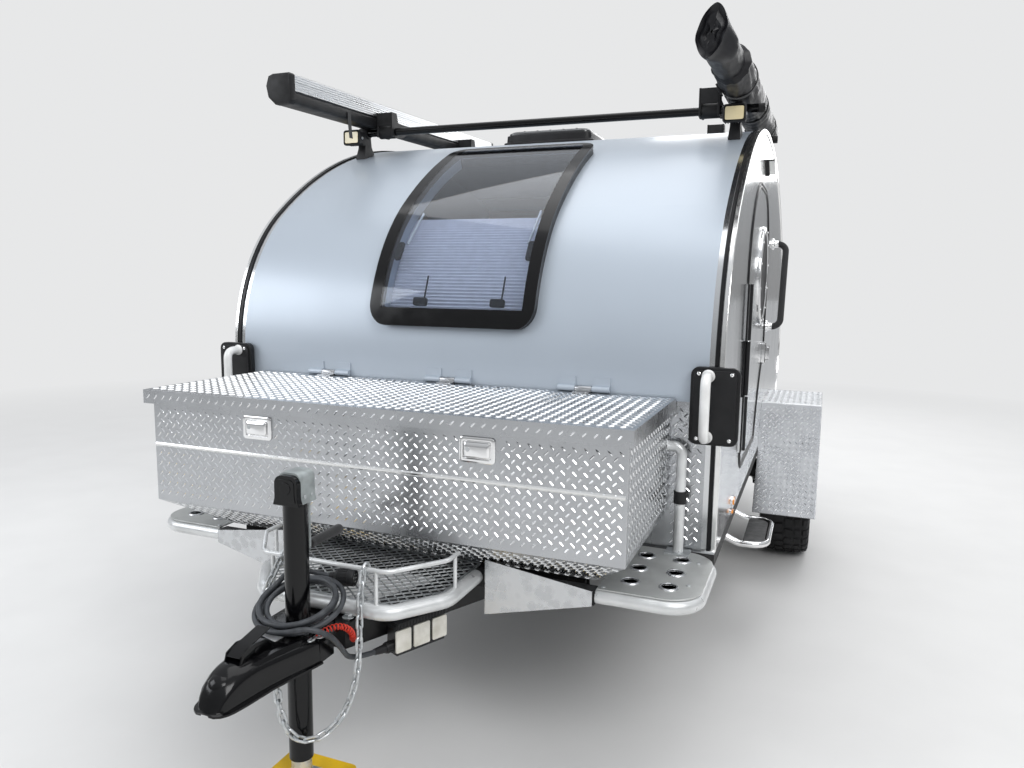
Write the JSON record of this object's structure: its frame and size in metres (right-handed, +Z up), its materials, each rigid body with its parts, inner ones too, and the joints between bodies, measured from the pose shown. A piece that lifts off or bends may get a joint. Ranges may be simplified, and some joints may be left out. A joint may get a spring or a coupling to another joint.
{
  "type": "teardrop trailer",
  "caption": "Off-road teardrop camping trailer with a front cargo box, tongue basket, jack, side doors, galley hatch, fenders and a roof rack with awnings.",
  "frame": {"origin": "on the ground, under the middle of the trailer's bounding box", "axes": "+X to the trailer's left, -Y forward to the coupler, +Z up"},
  "size_m": [2.25, 4.25, 2.1704],
  "materials": {
    "shell_metal": "silver-grey gloss",
    "side_metal": "mirror gloss",
    "tread_plate": "bright tread plate",
    "trim_metal": "bright with a black insert",
    "frame_steel": "satin black",
    "coupler_black": "gloss black",
    "zinc": "galvanised",
    "rim_tube": "silver-white",
    "chrome": "polished",
    "black_plastic": "fine grain",
    "grip_white": "smooth",
    "vinyl": "black coated cloth",
    "glass": "tinted",
    "blind_cloth": "pleated",
    "plywood": "clear lacquer",
    "floor_board": "black sealed board",
    "mattress_cloth": "woven",
    "tyre": "new rubber",
    "rim_paint": "satin black",
    "handle_foam": "foam grip",
    "lamp": "moulded lens",
    "cable_rubber": "smooth",
    "box_grey": "moulded",
    "red_cord": "coiled cable",
    "block_yellow": "moulded"
  },
  "bodies": {
    "chassis": {"front_skin": "shell_metal", "kick_panel": "tread_plate", "window_frame": "black_plastic", "window_glass": "glass", "window_blind": "blind_cloth", "side_walls": "side_metal", "edge_trim": "trim_metal", "floor_deck": "floor_board", "galley_cabinet": "plywood", "mattress": "mattress_cloth", "frame_rails": "frame_steel", "cross_members": "frame_steel", "axle": "frame_steel", "fenders": "tread_plate", "coupler": "coupler_black", "coupler_latch": "coupler_black", "jack_tube": "coupler_black", "cargo_box": "tread_plate", "box_latches": "chrome", "basket_rim": "rim_tube", "basket_deck": "zinc", "step_plates": "zinc", "step_tubes": "rim_tube", "front_grips": "grip_white", "rack_bars": "coupler_black", "rack_feet": "black_plastic", "awning_cassette": "black_plastic", "awning_bag": "vinyl", "work_lights": "black_plastic", "roof_vent": "black_plastic", "side_steps": "zinc", "grab_handles": "handle_foam", "body_lights": "lamp", "junction_box": "box_grey", "cable_coil": "cable_rubber", "cable_lead": "cable_rubber", "cable_plug": "cable_rubber", "cable_tail": "cable_rubber", "safety_chain": "zinc", "short_chain": "zinc", "curly_cord": "red_cord", "curly_clip": "zinc"},
    "left_wheel": {"tyre_left": "tyre", "rim_left": "rim_paint"},
    "right_wheel": {"tyre_right": "tyre", "rim_right": "rim_paint"},
    "left_door": {"door_left": "side_metal", "door_glass_left": "glass"},
    "right_door": {"door_right": "side_metal", "door_glass_right": "glass"},
    "galley_hatch": {"hatch": "shell_metal"},
    "box_lid": {"cargo_lid": "tread_plate"},
    "jack_ram": {"jack_leg": "zinc", "jack_block": "block_yellow"},
    "left_stabiliser": {"stabiliser_left": "zinc"},
    "right_stabiliser": {"stabiliser_right": "zinc"}
  },
  "joints": [
    {"name": "left_wheel_spin", "type": "hinge", "parent": "chassis", "child": "left_wheel", "pos_m": [0.9875, 0.945, 0.3665], "axis": [1, 0, 0], "continuous": true},
    {"name": "right_wheel_spin", "type": "hinge", "parent": "chassis", "child": "right_wheel", "pos_m": [-0.9875, 0.945, 0.3665], "axis": [1, 0, 0], "continuous": true},
    {"name": "left_door_hinge", "type": "hinge", "parent": "chassis", "child": "left_door", "pos_m": [0.86, -0.398, 1.0775], "axis": [0, 0, -1], "range_deg": [0, 95]},
    {"name": "right_door_hinge", "type": "hinge", "parent": "chassis", "child": "right_door", "pos_m": [-0.86, -0.398, 1.0775], "axis": [0, 0, 1], "range_deg": [0, 95]},
    {"name": "hatch_hinge", "type": "hinge", "parent": "chassis", "child": "galley_hatch", "pos_m": [0, 1.00253, 1.89217], "axis": [1, 0, 0], "range_deg": [0, 85]},
    {"name": "box_lid_hinge", "type": "hinge", "parent": "chassis", "child": "box_lid", "pos_m": [0, -1.039, 1.06], "axis": [-1, 0, 0], "range_deg": [0, 85]},
    {"name": "jack_screw", "type": "slide", "parent": "chassis", "child": "jack_ram", "axis": [0, 0, 1], "range_m": [-0.2, 0.05]},
    {"name": "left_stabiliser_swing", "type": "hinge", "parent": "chassis", "child": "left_stabiliser", "pos_m": [0.56, 1.69, 0.445], "axis": [1, 0, 0], "range_deg": [0, 90]},
    {"name": "right_stabiliser_swing", "type": "hinge", "parent": "chassis", "child": "right_stabiliser", "pos_m": [-0.56, 1.69, 0.445], "axis": [1, 0, 0], "range_deg": [0, 90]}
  ]
}
